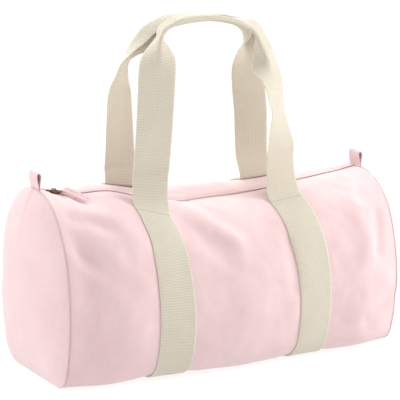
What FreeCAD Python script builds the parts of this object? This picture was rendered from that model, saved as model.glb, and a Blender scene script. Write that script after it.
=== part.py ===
import FreeCAD, Part
import math
import os

from FreeCAD import Placement, Rotation, Vector

# Barrel bag of cotton canvas with sewn-on webbing handles and a sagging top zip.
# Millimetres, +Z up, +X along the barrel, front towards -Y, origin on the floor under the middle.

# Cloth, webbing and room
canvas = 1.0
webbing_width = 50.0
webbing_thickness = 1.8
clearance = 0.3
overrun = 5.0

# Barrel between its end seams, and the arc in which its zipped top sags
seam_length = 498.0
end_bulge = 23.0
zip_gap = 10.0
zip_low_height = 214.0
zip_low_place = 25.0
zip_sag_radius = 1050.0

# Cross-section: flat base, then corner, side and top arcs; behind the zip the top crests and falls to it
end_base_half = 66.0
mid_base_half = 78.0
end_corner_radius = 27.0
mid_corner_radius = 45.0
side_heading = 71.0
shoulder_heading = 111.0
flat_heading = 180.0
crest_heading = 212.0
corner_steps = 5
side_steps = 7
top_steps = 9

# Spread of the slack canvas where neither a strap nor a bound seam holds it
left_swell = 11.5
middle_swell = 8.0
right_swell = 8.5
middle_swell_shares = (0.0, 0.5, 1.0)
end_swell_shares = (0.0, 0.33, 0.67, 1.0)

# Bulge of an end panel: a cap that leaves the seam at an angle, in shrinking outlines
dome_edge_angle = 75.0
dome_step_shares = (1.0, 0.8, 0.6, 0.4, 0.2, 0.05)
dome_middle_share = 0.45

# Bound seams inside, and the cloth loops sewn into the end seams
binding_width = 10.0
binding_thickness = 1.6
tab_width = 26.0
tab_height = 23.0
tab_ply = 1.4
tab_loop_radius = 5.2
tab_tail = 8.0

# Webbing straps round the barrel
strap_place = 105.0
front_strap_heading = 158.0
back_strap_heading = 174.0

# Handles: flat legs that fold in two along their middle to make the grip
front_handle_heading = 155.0
back_handle_heading = 171.0
handle_gap = 3.0
grip_height = 465.0
grip_shift = -7.0
crown_radius = 170.0
crown_half_angle = 24.5
bend_radius = 9.0
fold_run = 42.0
fold_angle = 87.0
fold_flat = 1.6
crown_steps = 4
bend_steps = 4
fold_steps = 8

# Zip tapes and teeth
zip_closed_inset = 18.0
zip_open_inset = 26.0
tape_half_width = 15.0
tape_thickness = 0.6
tape_dip = 2.5
tape_room = 0.1
tape_inset = 3.0
tooth_pitch = 4.2
tooth_height = 2.4
tooth_drop = 0.2
tooth_root = 3.1
tooth_overlap = 0.9
tooth_root_share = 0.3
tooth_head_share = 0.44
tooth_tip_share = 0.28
stop_length = 3.0
stop_inner = 0.7
stop_bevel = 0.5

# Zip slider
slider_length = 11.0
slider_width = 9.2
slider_tail_share = 0.9
slider_nose = 3.0
wing_thickness = 1.3
flange_thickness = 0.7
flange_room = 0.25
diamond_width = 3.0
bridge_length = 6.0
bridge_width = 2.0
bridge_rise = 3.2
bridge_wall = 1.0
bridge_round = 1.2

# Zip pull: wire ring on the slider's bridge, and the cloth tab on the ring
pull_yaw = 38.0
ring_wire = 1.2
ring_near_half = 4.2
ring_length = 10.0
pull_ply = 1.1
pull_width = 10.5
pull_length = 36.0

seam_half = seam_length / 2
base_lift = clearance + webbing_thickness
strap_outer = clearance + webbing_thickness
strap_near_edge = strap_place - webbing_width / 2
strap_far_edge = strap_place + webbing_width / 2
binding_edge = seam_half - binding_width
zip_axis_height = zip_low_height + zip_sag_radius
tooth_top = -tooth_drop
tooth_bottom = tooth_top - tooth_height


def zip_height(x):
    """Height of the zip edges at a place along the barrel."""
    reach = x - zip_low_place
    return zip_axis_height - math.sqrt(zip_sag_radius ** 2 - reach ** 2)


def blend(end, middle, share):
    return end + (middle - end) * share


def unit_run(start, end):
    """Sideways and upward run of a unit arc that turns from one heading to another."""
    a = math.radians(start)
    b = math.radians(end)
    return math.sin(b) - math.sin(a), math.cos(a) - math.cos(b)


def fullness(x):
    """Share of the barrel's bulge at a place along it: none at the seams, all in the middle."""
    return 1 - (x / seam_half) ** 2


def swell(x):
    """How far the canvas spreads at a place along the barrel: none under the straps and at the seams."""
    if abs(x) < strap_near_edge:
        return middle_swell * (1 - (x / strap_near_edge) ** 2)
    share = (abs(x) - strap_far_edge) / (binding_edge - strap_far_edge)
    most = left_swell if x < 0 else right_swell
    return most * max(4 * share * (1 - share), 0)


def lip_headings(x):
    """Headings at which the front and the back of the barrel reach the zip."""
    return flat_heading, blend(flat_heading, crest_heading, fullness(x) ** 2)


def half_section(x, side):
    """Base half-width and the corner, side and top arcs of the front (-1) or back (1) half at x.

    Each arc is its centre (y, z) and its radius. The side and top radii are the two that
    reach the zip edge.
    """
    bulge = fullness(x)
    lip_heading = lip_headings(x)[0 if side < 0 else 1]
    base_half = blend(end_base_half, mid_base_half, bulge) + swell(x)
    corner = blend(end_corner_radius, mid_corner_radius, bulge)
    corner_out, corner_up = unit_run(0, side_heading)
    side_out, side_up = unit_run(side_heading, shoulder_heading)
    top_out, top_up = unit_run(shoulder_heading, lip_heading)
    out_left = zip_gap / 2 - base_half - corner * corner_out
    up_left = zip_height(x) - base_lift - corner * corner_up
    scale = side_out * top_up - top_out * side_up
    side_radius = (out_left * top_up - top_out * up_left) / scale
    top_radius = (side_out * up_left - out_left * side_up) / scale

    y = base_half
    z = base_lift
    arcs = []
    for radius, start, end in (
        (corner, 0, side_heading),
        (side_radius, side_heading, shoulder_heading),
        (top_radius, shoulder_heading, lip_heading),
    ):
        turn = math.radians(start)
        arcs.append((y - radius * math.sin(turn), z + radius * math.cos(turn), radius))
        run_out, run_up = unit_run(start, end)
        y += radius * run_out
        z += radius * run_up
    return base_half, arcs


def arc_point(x, arc, offset, heading, side):
    """Point of an arc, moved outwards by offset, on the front (-1) or back (1) half."""
    centre_y, centre_z, radius = arc
    turn = math.radians(heading)
    reach = radius + offset
    return Vector(x, side * (centre_y + reach * math.sin(turn)), centre_z - reach * math.cos(turn))


def half_wrap(x, offset, top_heading, side):
    """Points of the front (-1) or back (1) half, from the base's edge up to a heading."""
    base_half, arcs = half_section(x, side)
    points = [Vector(x, side * base_half, base_lift - offset)]
    spans = ((0, side_heading), (side_heading, shoulder_heading), (shoulder_heading, top_heading))
    for arc, (start, end), steps in zip(arcs, spans, (corner_steps, side_steps, top_steps)):
        for i in range(1, steps + 1):
            points.append(arc_point(x, arc, offset, blend(start, end, i / steps), side))
    return points


def wrap(x, offset, top_headings):
    """Points from the front top, down, under the flat base and up to the back top."""
    front, back = [half_wrap(x, offset, top, side) for top, side in zip(top_headings, (-1, 1))]
    return list(reversed(front)) + back


def band(x, inner, outer, top_headings):
    """Ring of points round the edge of a layer that is open at the top."""
    return wrap(x, outer, top_headings) + list(reversed(wrap(x, inner, top_headings)))


def outline(points):
    return Part.makePolygon(points + points[:1])


def faceted(sections, corners):
    """Solid with flat faces of three or four corners through rings of points, capped at both ends."""
    faces = []
    for one, two in zip(sections, sections[1:]):
        for i in range(len(one)):
            j = (i + 1) % len(one)
            quad = [one[i], one[j], two[j], two[i]]
            pieces = [quad] if corners == 4 else [quad[:3], [quad[0]] + quad[2:]]
            faces += [Part.Face(outline(piece)) for piece in pieces]
    faces += [Part.Face(outline(ring)) for ring in (sections[0], sections[-1])]
    return Part.makeSolid(Part.makeShell(faces)).removeSplitter()


def edge(run):
    """Straight edge through two points, or an arc through three."""
    if len(run) == 2:
        return Part.makeLine(run[0], run[1])
    return Part.Arc(run[0], run[1], run[2]).toShape()


def moved(shape, place):
    shape = shape.copy()
    shape.Placement = place.multiply(shape.Placement)
    return shape


def block(low, high):
    """Box between two corners."""
    size = high - low
    return Part.makeBox(size.x, size.y, size.z, low)


def prism(points, direction):
    """Solid made by pushing the polygon through the points along a direction."""
    return Part.Face(outline(points)).extrude(direction)


# Barrel, ends and what is sewn into the end seams

def tab_notch(end):
    """Room for a tab's tail at the top of an end seam."""
    top = zip_height(end * seam_half)
    depth = tab_ply * 2 + clearance
    edges = sorted((end * seam_half, end * (seam_half - depth)))
    half = tab_width / 2 + clearance
    low = Vector(edges[0], -half, top - tab_tail - clearance)
    return block(low, Vector(edges[1], half, top + overrun))


def barrel_panel():
    half = [strap_near_edge * share for share in middle_swell_shares]
    half += [blend(strap_far_edge, binding_edge, share) for share in end_swell_shares] + [seam_half]
    stations = [-x for x in reversed(half[1:])] + half
    shell = faceted([band(x, -canvas, 0, lip_headings(x)) for x in stations], 3)
    for end in (-1, 1):
        shell = shell.cut(tab_notch(end))
    return shell


def dome(end, offset):
    """Bulging end, as a solid, its outline moved outwards by offset."""
    place = end * seam_half
    rim = wrap(place, offset, lip_headings(place))
    middle = Vector(place, 0, blend(base_lift, zip_height(place), dome_middle_share))
    edge_angle = math.radians(dome_edge_angle)
    sections = []
    for share in dome_step_shares:
        turn = edge_angle * share
        size_share = math.sin(turn) / math.sin(edge_angle)
        depth_share = (math.cos(turn) - math.cos(edge_angle)) / (1 - math.cos(edge_angle))
        centre = middle + Vector(end * depth_share * (end_bulge + offset), 0, 0)
        sections.append([centre + (point - middle) * size_share for point in rim])
    return faceted(sections, 4)


def end_panel(end):
    return dome(end, 0).cut(dome(end, -canvas))


def seam_binding(end):
    """Tape that binds the raw seam edges inside the barrel."""
    places = [end * binding_edge, end * (seam_half - clearance)]
    outer = -(canvas + clearance)
    inner = outer - binding_thickness
    ring = faceted([wrap(x, outer, lip_headings(x)) for x in places], 3)
    bore = faceted([wrap(x, inner, lip_headings(x)) for x in places], 3)
    return ring.cut(bore).cut(tab_notch(end))


def teardrop(radius, foot_half, foot, centre):
    """Face in the XZ plane: a circle with straight sides down to a foot."""
    rise = centre - foot
    reach = math.hypot(rise, foot_half)
    lean = math.asin(radius / reach) - math.asin(foot_half / reach)
    side = Vector(radius * math.cos(lean), 0, centre - radius * math.sin(lean))
    other = Vector(-side.x, 0, side.z)
    top = Vector(0, 0, centre + radius)
    runs = [[side, top, other], [other, Vector(-foot_half, 0, foot)]]
    if foot_half > 0:
        runs.append([Vector(-foot_half, 0, foot), Vector(foot_half, 0, foot)])
    runs.append([Vector(foot_half, 0, foot), side])
    return Part.Face(Part.Wire([edge(run) for run in runs]))


def tab_loop(end):
    """Loop of folded canvas that stands up from an end seam."""
    centre = tab_height - tab_loop_radius
    across = Vector(0, tab_width, 0)
    outer = teardrop(tab_loop_radius, tab_ply, 0, centre).extrude(across)
    hole = teardrop(tab_loop_radius - tab_ply, 0, tab_ply, centre).extrude(across)
    tail = block(Vector(-tab_ply, 0, -tab_tail), Vector(tab_ply, tab_width, 0))
    loop = outer.fuse(tail).cut(hole).removeSplitter()
    place = end * (seam_half - tab_ply - clearance / 2)
    return moved(loop, Placement(Vector(place, -tab_width / 2, zip_height(end * seam_half)), Rotation()))


# Webbing

def strap(end):
    """Webbing sewn round the barrel, from the front anchor under the base to the back anchor."""
    tops = (front_strap_heading, back_strap_heading)
    edges = sorted((end * strap_near_edge, end * strap_far_edge))
    return faceted([band(x, clearance, strap_outer, tops) for x in edges], 3)


def handle_axis(side):
    """Distance from the middle, and height, of the line where the front or back handle swings.

    The line lies along X, close above the strap edge that stands highest.
    """
    highest = max((-strap_far_edge, strap_far_edge), key=zip_height)
    lift = strap_outer + clearance + webbing_thickness
    heading = front_handle_heading if side < 0 else back_handle_heading
    point = arc_point(highest, half_section(highest, side)[1][2], lift, heading, 1)
    return point.y, point.z


def free_reach(x, side):
    """How far a leg may reach below its swing line at x and still turn clear of the strap."""
    axis_y, axis_z = handle_axis(side)
    centre_y, centre_z, radius = half_section(x, side)[1][2]
    distance = math.hypot(axis_y - centre_y, axis_z - centre_z) - radius - strap_outer
    return math.sqrt((distance - clearance) ** 2 - (webbing_thickness / 2) ** 2)


def foot_drop(x, side):
    """Reach of a leg's slanting foot below its swing line, straight from edge to edge of the leg."""
    end = math.copysign(1, x)
    share = (abs(x) - strap_near_edge) / webbing_width
    return blend(free_reach(end * strap_near_edge, side), free_reach(end * strap_far_edge, side), share)


def fold_section(angle):
    """Points (across, inwards) of webbing folded along its middle by an angle each side."""
    turn = math.radians(angle)
    wing = webbing_width / 2 - fold_flat
    across = math.cos(turn)
    inward = math.sin(turn)
    tip = (fold_flat + wing * across, wing * inward)
    inner_tip = (tip[0] - webbing_thickness * inward, tip[1] + webbing_thickness * across)
    slack = max(webbing_thickness * inward - fold_flat, 0) / across
    valley = webbing_thickness * across + slack * inward
    right = [(fold_flat, 0), tip, inner_tip]
    left = [(-across_at, inward_at) for across_at, inward_at in reversed(right)]
    return right + [(0, max(valley, webbing_thickness))] + left


def handle_half(end, crown):
    """Stations from the crown down one leg: place (x, up), turn away from the crown, and fold."""
    half_angle = math.radians(crown_half_angle)
    shift = end * grip_shift
    pivot_up = crown - crown_radius
    bend_x = shift + (crown_radius - bend_radius) * math.sin(half_angle)
    bend_up = pivot_up + (crown_radius - bend_radius) * math.cos(half_angle)
    span_x = strap_place - bend_x
    lean = math.atan2(span_x, bend_up) - math.asin(bend_radius / math.hypot(span_x, bend_up))
    leg_turn = math.pi / 2 - lean
    stations = []
    for i in range(1, crown_steps + 1):
        turn = half_angle * i / crown_steps
        place = (shift + crown_radius * math.sin(turn), pivot_up + crown_radius * math.cos(turn))
        stations.append((place, turn, fold_angle))
    for i in range(1, bend_steps + 1):
        turn = blend(half_angle, leg_turn, i / bend_steps)
        place = (bend_x + bend_radius * math.sin(turn), bend_up + bend_radius * math.cos(turn))
        stations.append((place, turn, fold_angle))
    top_x, top_up = stations[-1][0]
    for i in range(1, fold_steps + 1):
        share = i / fold_steps
        down = fold_run * share
        place = (top_x + down * math.sin(lean), top_up - down * math.cos(lean))
        stations.append((place, leg_turn, fold_angle * (1 - share)))
    stations.append(((strap_place, 0), math.pi / 2, 0))
    return [((end * place[0], place[1]), end * turn, fold) for place, turn, fold in stations]


def handle(side):
    """Free webbing of the front (-1) or back (1) handle."""
    axis_y, axis_z = handle_axis(side)
    rise = grip_height - axis_z
    run = axis_y - (handle_gap + webbing_width) / 2
    crown = math.hypot(rise, run)
    base = Vector(0, side * axis_y, axis_z)
    up = Vector(0, -side * run / crown, rise / crown)
    inwards = Vector(0, -side * rise / crown, -run / crown)
    along = Vector(1, 0, 0)

    def ring(station, foot):
        """Points of the webbing's outline at a station; a foot follows the slope of its strap."""
        (x, height), turn, fold = station
        across = along * math.sin(turn) + up * math.cos(turn)
        points = []
        for width_at, inward_at in fold_section(fold):
            point = base + along * x + across * width_at + inwards * (inward_at - webbing_thickness / 2)
            drop = foot_drop(point.x, side) if foot else 0
            points.append(point + up * (height - drop))
        return points

    left = handle_half(-1, crown)
    right = handle_half(1, crown)
    top = ((grip_shift, crown), 0, fold_angle)
    middle = list(reversed(left[:-1])) + [top] + right[:-1]
    sections = [ring(left[-1], True)]
    sections += [ring(station, False) for station in middle]
    sections.append(ring(right[-1], True))
    return faceted(sections, 3)


# Zip

def along_zip(x):
    """Distance along the sagging zip, from its lowest point, of a place along the barrel."""
    return zip_sag_radius * math.asin((x - zip_low_place) / zip_sag_radius)


def zip_frame(distance):
    """Placement on the zip: X along it, Y across, Z out of the bag, level with the canvas edges."""
    turn = distance / zip_sag_radius
    x = zip_low_place + zip_sag_radius * math.sin(turn)
    z = zip_axis_height - zip_sag_radius * math.cos(turn)
    return Placement(Vector(x, 0, z), Rotation(Vector(0, 1, 0), -math.degrees(turn)))


chain_start = along_zip(zip_closed_inset - seam_half)
chain_end = along_zip(seam_half - zip_open_inset)
slider_rest = chain_start + stop_length + clearance + slider_length / 2


def tape_level(across):
    """Level of a tape's upper face, which runs close under the canvas edge and dips away from it."""
    under = canvas + clearance
    return -under - (across - zip_gap / 2) * math.tan(math.radians(tape_dip))


def zip_tape(side):
    """One tape of the zip, swept round the axis of the sag."""
    start = binding_width + tape_inset - seam_half
    angle = (along_zip(-start) - along_zip(start)) / zip_sag_radius
    inner = tooth_root + tape_room
    points = []
    for across, drop in (
        (inner, 0),
        (tape_half_width, 0),
        (tape_half_width, tape_thickness),
        (inner, tape_thickness),
    ):
        points.append(Vector(0, side * across, tape_level(across) - drop))
    face = moved(Part.Face(outline(points)), zip_frame(along_zip(start)))
    return face.revolve(Vector(zip_low_place, 0, zip_axis_height), Vector(0, -1, 0), math.degrees(angle))


def zip_teeth(side):
    """Row of teeth clamped on one tape; the two rows mesh half a pitch apart."""
    root = tooth_pitch * tooth_root_share / 2
    head = tooth_pitch * tooth_head_share / 2
    tip = tooth_pitch * tooth_tip_share / 2
    points = [
        Vector(-root, side * tooth_root, tooth_bottom),
        Vector(root, side * tooth_root, tooth_bottom),
        Vector(head, 0, tooth_bottom),
        Vector(tip, -side * tooth_overlap, tooth_bottom),
        Vector(-tip, -side * tooth_overlap, tooth_bottom),
        Vector(-head, 0, tooth_bottom),
    ]
    tooth = prism(points, Vector(0, 0, tooth_height))
    first = slider_rest + (tooth_pitch / 2 if side < 0 else tooth_pitch)
    last = chain_end - stop_length - tooth_pitch / 2
    count = int((last - first) / tooth_pitch) + 1
    return Part.Compound([moved(tooth, zip_frame(first + i * tooth_pitch)) for i in range(count)])


def stop(across_low, across_high):
    """Crimped stop with bevelled upright edges."""
    low = Vector(0, across_low, tooth_bottom)
    shape = block(low, Vector(stop_length, across_high, tooth_top))
    upright = [e for e in shape.Edges if e.BoundBox.ZLength > tooth_height / 2]
    return shape.makeChamfer(stop_bevel, upright)


def zip_top_stops():
    """A stop on each tape at the closed end."""
    pair = [stop(stop_inner, tooth_root), stop(-tooth_root, -stop_inner)]
    return Part.Compound([moved(shape, zip_frame(chain_start)) for shape in pair])


def zip_bottom_stop():
    """One stop across both tapes at the open end."""
    return moved(stop(-tooth_root, tooth_root), zip_frame(chain_end - stop_length))


# Slider and pull, each made on the zip's lowest point and then set on the zip

upper_wing = tooth_top + clearance
bridge_foot = upper_wing + wing_thickness
lower_wing = tooth_bottom - clearance
slider_floor = lower_wing - wing_thickness
slider_nose_half = slider_width / 2
slider_tail_half = slider_nose_half * slider_tail_share
slider_back = slider_length / 2
slider_shoulder = slider_nose - slider_back


def slider_wing(bottom):
    """Plate of the slider with a round nose towards the closed end of the zip."""
    points = [
        Vector(slider_shoulder, -slider_nose_half, bottom),
        Vector(slider_back, -slider_tail_half, bottom),
        Vector(slider_back, slider_tail_half, bottom),
        Vector(slider_shoulder, slider_nose_half, bottom),
    ]
    runs = [points[0:2], points[1:3], points[2:4], [points[3], Vector(-slider_back, 0, bottom), points[0]]]
    return Part.Face(Part.Wire([edge(run) for run in runs])).extrude(Vector(0, 0, wing_thickness))


def slider_flange(side, bottom, top):
    """Side rib of a wing that guides the teeth."""
    points = [
        Vector(slider_shoulder, side * slider_nose_half, bottom),
        Vector(slider_back, side * slider_tail_half, bottom),
        Vector(slider_back, side * (slider_tail_half - flange_thickness), bottom),
        Vector(slider_shoulder, side * (slider_nose_half - flange_thickness), bottom),
    ]
    return prism(points, Vector(0, 0, top - bottom))


def arch(half_length, rise, rounding, width):
    """Solid arch along X with rounded shoulders, standing on the XY plane."""
    slant = rounding * (1 - math.cos(math.pi / 4))
    left = [
        Vector(-half_length, 0, rise - rounding),
        Vector(slant - half_length, 0, rise - slant),
        Vector(rounding - half_length, 0, rise),
    ]
    right = [Vector(-p.x, 0, p.z) for p in reversed(left)]
    foot = [Vector(half_length, 0, 0), Vector(-half_length, 0, 0)]
    runs = [left, [left[2], right[0]], right, [right[2], foot[0]], foot, [foot[1], left[0]]]
    solid = Part.Face(Part.Wire([edge(run) for run in runs])).extrude(Vector(0, width, 0))
    return moved(solid, Placement(Vector(0, -width / 2, 0), Rotation()))


def slider_bridge():
    """Arch on the upper wing that holds the pull's wire ring."""
    outer = arch(bridge_length / 2, bridge_rise, bridge_round, bridge_width)
    hole_half = bridge_length / 2 - bridge_wall
    hole = arch(hole_half, bridge_rise - bridge_wall, bridge_round - bridge_wall / 2, bridge_width + overrun)
    return moved(outer.cut(hole), Placement(Vector(0, 0, bridge_foot), Rotation()))


def slider_diamond():
    """Wedge in the nose that joins the wings and parts the teeth."""
    half = diamond_width / 2
    wide = slider_nose / 2 - slider_back
    points = [Vector(wide, -half, slider_floor), Vector(0, 0, slider_floor), Vector(wide, half, slider_floor)]
    return prism(points, Vector(0, 0, bridge_foot - slider_floor))


def zip_slider():
    """Slider body, closed up to the top stops."""
    upper_edge = tape_level(slider_tail_half - flange_thickness) + flange_room
    lower_edge = tape_level(slider_nose_half) - tape_thickness - flange_room
    pieces = [slider_wing(slider_floor), slider_diamond(), slider_bridge()]
    for side in (-1, 1):
        pieces.append(slider_flange(side, upper_edge, upper_wing))
        pieces.append(slider_flange(side, lower_wing, lower_edge))
    body = slider_wing(upper_wing).fuse(pieces).removeSplitter()
    return moved(body, zip_frame(slider_rest))


def pull_frame():
    """Placement of the pull: X along it, Y along the ring's bar, Z out of the bag."""
    level = bridge_foot + (bridge_rise - bridge_wall) / 2
    local = Placement(Vector(0, 0, level), Rotation(Vector(0, 0, 1), -pull_yaw))
    return zip_frame(slider_rest).multiply(local)


def rod(start, end):
    """Round wire between two points, with a ball at its start to fill the corner."""
    axis = end - start
    bar = Part.makeCylinder(ring_wire / 2, axis.Length, start, axis)
    return bar.fuse(Part.makeSphere(ring_wire / 2, start))


def zip_pull_ring():
    """Bent wire ring between the slider's bridge and the cloth tab."""
    far_half = pull_width / 2 + ring_wire + clearance
    corners = [
        Vector(0, -ring_near_half, 0),
        Vector(ring_length, -far_half, 0),
        Vector(ring_length, far_half, 0),
        Vector(0, ring_near_half, 0),
    ]
    rods = [rod(corners[i - 1], corners[i]) for i in range(len(corners))]
    return moved(rods[0].fuse(rods[1:]).removeSplitter(), pull_frame())


def zip_pull_tab():
    """Strip of canvas folded round the ring's far bar and sewn to itself."""
    bore = ring_wire / 2 + clearance
    start = Vector(ring_length, -pull_width / 2, 0)
    across = Vector(0, 1, 0)
    loop = Part.makeCylinder(bore + pull_ply, pull_width, start, across)
    strip_low = Vector(ring_length, -pull_width / 2, -pull_ply)
    strip = block(strip_low, Vector(ring_length + pull_length, pull_width / 2, pull_ply))
    hole = Part.makeCylinder(bore, pull_width, start, across)
    return moved(loop.fuse(strip).cut(hole).removeSplitter(), pull_frame())


nodes = {
    "barrel_panel": barrel_panel(),
    "left_end_panel": end_panel(-1),
    "right_end_panel": end_panel(1),
    "left_seam_binding": seam_binding(-1),
    "right_seam_binding": seam_binding(1),
    "left_tab_loop": tab_loop(-1),
    "right_tab_loop": tab_loop(1),
    "left_strap": strap(-1),
    "right_strap": strap(1),
    "front_handle": handle(-1),
    "back_handle": handle(1),
    "front_zip_tape": zip_tape(-1),
    "back_zip_tape": zip_tape(1),
    "front_zip_teeth": zip_teeth(-1),
    "back_zip_teeth": zip_teeth(1),
    "zip_top_stops": zip_top_stops(),
    "zip_bottom_stop": zip_bottom_stop(),
    "zip_slider": zip_slider(),
    "zip_pull_ring": zip_pull_ring(),
    "zip_pull_tab": zip_pull_tab(),
}

os.makedirs("parts", exist_ok=True)
for name, shape in nodes.items():
    shape.exportStep(f"parts/{name}.step")
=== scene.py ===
import math

import bmesh
import bpy
import numpy as np
from mathutils import Matrix, Vector, noise


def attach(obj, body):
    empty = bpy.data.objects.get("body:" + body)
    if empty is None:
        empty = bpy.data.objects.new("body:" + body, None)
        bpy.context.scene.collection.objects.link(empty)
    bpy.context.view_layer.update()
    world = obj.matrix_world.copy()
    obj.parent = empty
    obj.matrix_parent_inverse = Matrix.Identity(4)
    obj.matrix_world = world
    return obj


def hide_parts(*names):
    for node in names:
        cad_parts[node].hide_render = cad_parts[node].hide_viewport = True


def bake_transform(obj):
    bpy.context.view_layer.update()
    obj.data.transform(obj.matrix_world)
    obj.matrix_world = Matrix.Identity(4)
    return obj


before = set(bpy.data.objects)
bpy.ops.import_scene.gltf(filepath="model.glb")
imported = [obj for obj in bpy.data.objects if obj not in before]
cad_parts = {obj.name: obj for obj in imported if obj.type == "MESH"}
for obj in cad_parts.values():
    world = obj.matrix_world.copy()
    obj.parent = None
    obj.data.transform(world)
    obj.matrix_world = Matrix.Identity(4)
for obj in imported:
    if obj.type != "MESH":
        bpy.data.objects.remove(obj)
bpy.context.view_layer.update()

# Looks of a slouching barrel bag of pale pink canvas, with cream webbing handles and a zip along its top.
# Lengths are millimetres, times MM where Blender takes metres, and angles are degrees. Only the lamps are
# given in metres. +Z is up, +X runs along the barrel, the front faces -Y, and the origin is on the floor
# under the middle.

MM = 0.001

# Cloth, webbing and the room between layers
canvas = 1.0
webbing_width = 50.0
webbing_thickness = 1.8
selvedge_width = 1.3
layer_gap = 0.3
light_depth = 1.6

# Barrel: its end seams, and the arc of its zip with the places where the slack top leaves that arc
seam_half = 249.0
barrel_rows = 141
barrel_columns = 205
zip_low_height = 214.0
zip_low_place = 25.0
zip_sag_radius = 1050.0
zip_rises = (
    # height, place, spread
    (9.0, -140.0, 42.0),
    (-3.5, -36.0, 30.0),
    (4.0, 150.0, 60.0),
)

# Zip edges: their gap, closed up at the left end and parted round the slider
lip_half_gap = 0.8
met_lip_half_gap = 0.3
lips_meet = (-236.0, -230.0)
back_lip_rise = 1.0
lip_parting = 3.8
lip_parting_reach = (5.5, 12.0)
slider_dip = 2.5

# Cross-section: flat base, then corner, side and top arcs that turn to these headings
end_base_half = 66.0
mid_base_half = 78.0
end_corner_radius = 27.0
mid_corner_radius = 45.0
side_heading = 71.0
shoulder_heading = 111.0
flat_heading = 180.0
crest_heading = 212.0
arc_points = 40
near_share = 0.004
strap_place = 105.0
floor_lift = 0.4
strap_press = (28.0, 50.0)
spills = (
    # place, spill, spread
    (-192.0, 9.0, 32.0),
    (0.0, 6.0, 40.0),
    (189.0, 6.0, 32.0),
)

# Relief of the canvas: pinched seams, panels that puff between straps and seams, folds and ripples
seam_pinch = 0.4
seam_roll = 2.2
panels = (
    # place, half width, puff
    (-189.5, 59.5, 3.2),
    (0.0, 80.0, 2.6),
    (189.5, 59.5, 3.2),
)
puff_power = 4
base_fade = (4.0, 34.0)
top_fade = (185.0, 225.0)
top_puff_share = 0.25
lip_fade = (lip_half_gap, 24.0)
lip_relief_share = 0.25
seam_fade = (0.0, 22.0)
seam_relief_share = 0.3
pull_rest = (-204.0, -15.0, 34.0)
pull_bed = (-188.0, -30.0, 21.0)
pull_bed_depth = 6.0
ripple_sizes = ((90.0, 2.2), (34.0, 0.8), (15.0, 0.3))
crease_sizes = ((52.0, -2.8), (27.0, 1.6))
crease_clear_of_strap = (22.0, 42.0)
pucker_size = 13.0
pucker_stretch = (0.35, 1, 1)
pucker_height = 0.9
pucker_reach = 16.0
front_folds = (
    # start (x, z), end (x, z), spread, height
    ((-226, 222), (-176, 204), 9, -4.0),
    ((-190, 226), (-146, 186), 13, 4.0),
    ((-246, 205), (-178, 132), 17, -6.0),
    ((-247, 178), (-208, 146), 9, 3.5),
    ((-224, 175), (-214, 45), 24, -9.0),
    ((-170, 120), (-158, 50), 24, 3.0),
    ((-76, 226), (-2, 172), 10, 5.0),
    ((-70, 200), (-26, 160), 15, -4.0),
    ((74, 165), (70, 105), 9, -3.5),
    ((190, 200), (196, 140), 13, 4.0),
    ((226, 184), (214, 140), 9, -5.0),
    ((243, 64), (196, 46), 11, -5.0),
)
back_folds = (
    ((-25, 227), (22, 229), 24, -4.0),
    ((-215, 215), (-160, 170), 13, -3.5),
    ((-60, 190), (10, 150), 14, 3.0),
    ((40, 210), (70, 150), 12, -3.0),
    ((225, 200), (165, 150), 14, 3.5),
)

# End panels, domed from their rim to their middle
end_bulges = {-1: 26.5, 1: 29.0}
rim_step = 1.0
dome_edge_angle = 75.0
dome_middle_share = 0.45
dome_rings = 30
dome_hole_share = 0.03
dome_spacing_power = 0.8
dome_swell_power = 5
dome_ripple_size = 70.0
dome_ripple_height = 1.6
end_folds = {
    # start (y, z), end (y, z), spread, height
    -1: (((100, 118), (66, 124), 12, -4.0), ((-70, 190), (-20, 150), 22, 1.5)),
    1: (((-98, 58), (-62, 64), 10, -5.0), ((40, 170), (90, 150), 16, 2.0)),
}

# Straps and handles: where the straps end, as distances out from the zip, and the lines of the handles
front_anchors = {-1: 57.0, 1: 46.0}
back_anchor = 40.0
webbing_columns = 15
strap_rows = 280
front_handle_line = (
    # x, y, z of the webbing's middle, fold of each wing, turn about its run
    (-103, -49, 280, 0, -9),
    (-95, -42, 332, 0, -13),
    (-88, -35, 385, 2, -17),
    (-84, -32, 410, 22, -25),
    (-81, -30, 428, 58, -28),
    (-77, -29, 441, 82, -24),
    (-68, -28, 450.5, 84, -8),
    (-54, -28, 456, 90, 4),
    (-40, -28, 459, 93, 7),
    (-15, -28, 461, 98, 6),
    (6, -28, 460, 98, 6),
    (30, -28, 455.5, 97, 6),
    (50, -28, 448, 92, 16),
    (60, -28.5, 441.5, 84, 36),
    (66, -29, 434, 84, 42),
    (70, -29.5, 425.5, 76, 36),
    (73.5, -30, 418, 68, 30),
    (77.5, -31, 410, 60, 24),
    (81.5, -31.5, 402, 48, 8),
    (84.5, -32.5, 393, 27, -12),
    (87, -33.8, 383, 9, -25),
    (89, -35, 372, 1, -31),
    (92.5, -37.5, 350, 0, -37),
    (95, -39, 328, 0, -40),
    (97, -43, 285, 0, -15),
)
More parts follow.
